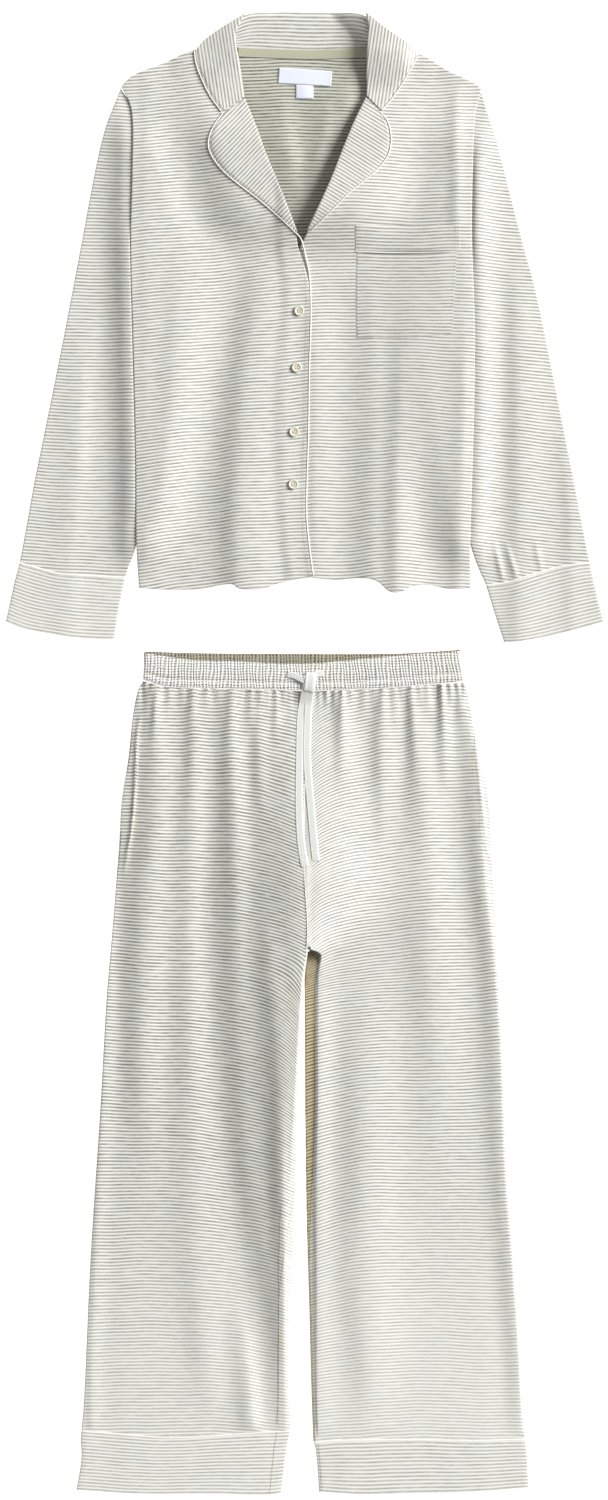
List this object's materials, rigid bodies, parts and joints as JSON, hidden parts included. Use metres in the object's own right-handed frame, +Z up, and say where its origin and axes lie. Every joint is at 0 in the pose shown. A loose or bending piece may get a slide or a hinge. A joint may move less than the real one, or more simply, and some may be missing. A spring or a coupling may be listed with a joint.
{
  "type": "pyjama set",
  "caption": "Pyjama set laid flat: a piped, buttoned shirt with a notched collar above wide trousers with a gathered waist and a drawstring.",
  "frame": {"origin": "middle of the set's box, on the surface that it lies on", "axes": "+Y from the trouser hems to the collar, +Z up out of the surface, +X towards the wearer's left"},
  "size_m": [0.718, 1.7795, 0.0136],
  "materials": {
    "striped_jersey": "soft cotton jersey, fine grey-green stripes on ecru",
    "cream_piping": "plain cream jersey piping",
    "drawstring": "flat woven cotton cord, cream",
    "neck_tape": "herringbone cotton tape, olive grey",
    "label": "smooth woven satin, blank",
    "button": "pearly cream plastic"
  },
  "bodies": {
    "root": {"shirt_back": "striped_jersey", "shirt_front_right": "striped_jersey", "shirt_front_left": "striped_jersey", "lapel_right": "striped_jersey", "lapel_left": "striped_jersey", "collar_leaf_right": "striped_jersey", "collar_leaf_left": "striped_jersey", "collar_back": "striped_jersey", "sleeve_right": "striped_jersey", "sleeve_left": "striped_jersey", "cuff_right": "striped_jersey", "cuff_left": "striped_jersey", "pocket": "striped_jersey", "pocket_band": "striped_jersey", "leg_front_right": "striped_jersey", "leg_front_left": "striped_jersey", "leg_back_right": "striped_jersey", "leg_back_left": "striped_jersey", "leg_band_right": "striped_jersey", "leg_band_left": "striped_jersey", "waistband_front": "striped_jersey", "waistband_back": "striped_jersey", "piping_front_right": "cream_piping", "piping_lapel_left": "cream_piping", "piping_collar_right": "cream_piping", "piping_collar_left": "cream_piping", "pocket_piping": "cream_piping", "cuff_piping_right": "cream_piping", "cuff_piping_left": "cream_piping", "leg_piping_right": "cream_piping", "leg_piping_left": "cream_piping", "drawstring_right": "drawstring", "drawstring_left": "drawstring", "drawstring_knot": "drawstring", "neck_tape": "neck_tape", "label": "label", "size_tab": "label", "button_1": "button", "button_2": "button", "button_3": "button", "button_4": "button"}
  },
  "joints": []
}
